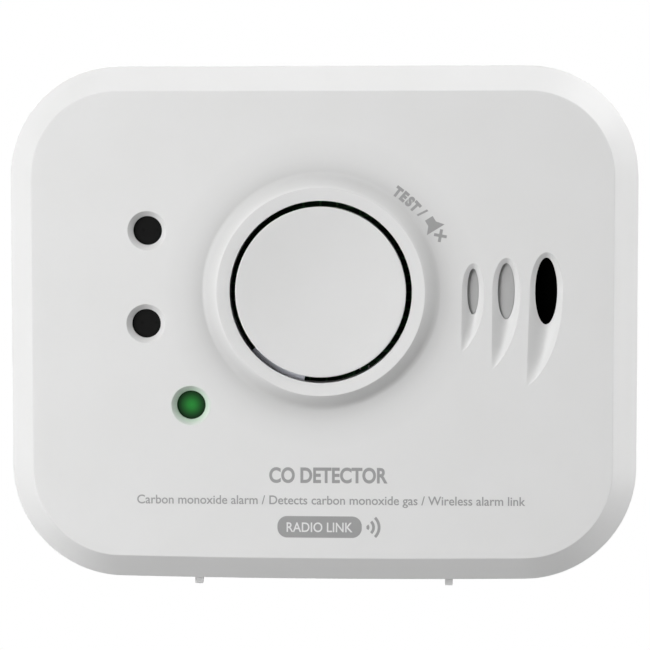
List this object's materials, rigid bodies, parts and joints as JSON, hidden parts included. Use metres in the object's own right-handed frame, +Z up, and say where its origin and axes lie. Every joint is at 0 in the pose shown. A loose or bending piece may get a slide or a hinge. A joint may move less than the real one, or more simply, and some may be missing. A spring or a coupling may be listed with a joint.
{
  "type": "carbon monoxide detector",
  "caption": "Wall-hung rounded rectangular carbon monoxide alarm with a large dished test button, status lights, scooped sound outlets and a mounting plate.",
  "frame": {"origin": "centre of the mounting plate's back face, where it meets the wall", "axes": "+Y into the wall, so the front faces -Y; +Z up; +X along the case's long side"},
  "size_m": [0.12, 0.038, 0.1002],
  "materials": {
    "cover": "satin",
    "housing": "satin",
    "plate": "satin",
    "button": "satin",
    "label": "matte",
    "screen": "matte",
    "smoked_lens": "gloss",
    "lit_lens": "gloss",
    "led": "gloss",
    "circuit_board": "satin",
    "radio_circuit": "satin",
    "black_plastic": "satin",
    "plunger": "satin",
    "spring_steel": "satin",
    "rubber": "matte",
    "brass": "satin",
    "ceramic": "satin",
    "coil": "gloss",
    "capacitor": "gloss",
    "sensor_steel": "satin",
    "sensor_cap": "matte",
    "gold_pin": "gloss",
    "cell_wrap": "gloss",
    "nickel": "gloss",
    "aerial_wire": "gloss",
    "screw_steel": "satin"
  },
  "bodies": {
    "mounting_plate": {"mounting_plate": "plate"},
    "alarm_unit": {"rear_housing": "housing", "rear_label": "label", "front_cover": "cover", "vent_screen": "screen", "alarm_light_pipe": "smoked_lens", "fault_light_pipe": "smoked_lens", "power_light_pipe": "lit_lens", "alarm_led": "led", "fault_led": "led", "power_led": "led", "main_board": "circuit_board", "test_switch_body": "black_plastic", "activation_switch_body": "black_plastic", "activation_spring": "spring_steel", "microcontroller": "black_plastic", "sounder_housing": "black_plastic", "sounder_gasket": "rubber", "piezo_disc": "brass", "piezo_ceramic": "ceramic", "sounder_coil": "coil", "buffer_capacitor": "capacitor", "gas_sensor_can": "sensor_steel", "gas_sensor_cap": "sensor_cap", "gas_sensor_pin_1": "gold_pin", "gas_sensor_pin_2": "gold_pin", "gas_sensor_pin_3": "gold_pin", "battery_cell": "cell_wrap", "battery_cradle": "black_plastic", "battery_tab_left": "nickel", "battery_tab_right": "nickel", "radio_board": "radio_circuit", "radio_shield": "nickel", "radio_aerial": "aerial_wire", "radio_header": "black_plastic", "board_screw_1": "screw_steel", "board_screw_2": "screw_steel", "board_screw_3": "screw_steel", "case_screw_1": "screw_steel", "case_screw_2": "screw_steel", "case_screw_3": "screw_steel", "case_screw_4": "screw_steel"},
    "test_button": {"test_button": "button"},
    "switch_plunger": {"switch_plunger": "black_plastic"},
    "activation_plunger": {"activation_plunger": "plunger"}
  },
  "joints": [
    {"name": "unit_lift", "type": "slide", "parent": "mounting_plate", "child": "alarm_unit", "axis": [0, 0, 1], "range_m": [0, 0.004]},
    {"name": "test_button_press", "type": "hinge", "parent": "alarm_unit", "child": "test_button", "pos_m": [-0.00932, -0.03425, -0.00978], "axis": [-0.8638, 0, 0.5038], "range_deg": [0, 3.1], "stiffness_Nm_per_rad": 1, "springref_deg": -2.06},
    {"name": "switch_plunger_slide", "type": "slide", "parent": "alarm_unit", "child": "switch_plunger", "axis": [0, 1, 0], "range_m": [0, 0.00075]},
    {"name": "activation_plunger_slide", "type": "slide", "parent": "alarm_unit", "child": "activation_plunger", "axis": [0, 1, 0], "range_m": [0, 0.0017], "deforming": ["activation_spring"]}
  ],
  "couplings": [
    {"joint": "switch_plunger_slide", "follows": "test_button_press", "m_per_rad": 0.01386},
    {"joint": "activation_plunger_slide", "follows": "unit_lift", "ratio": 0.4}
  ]
}
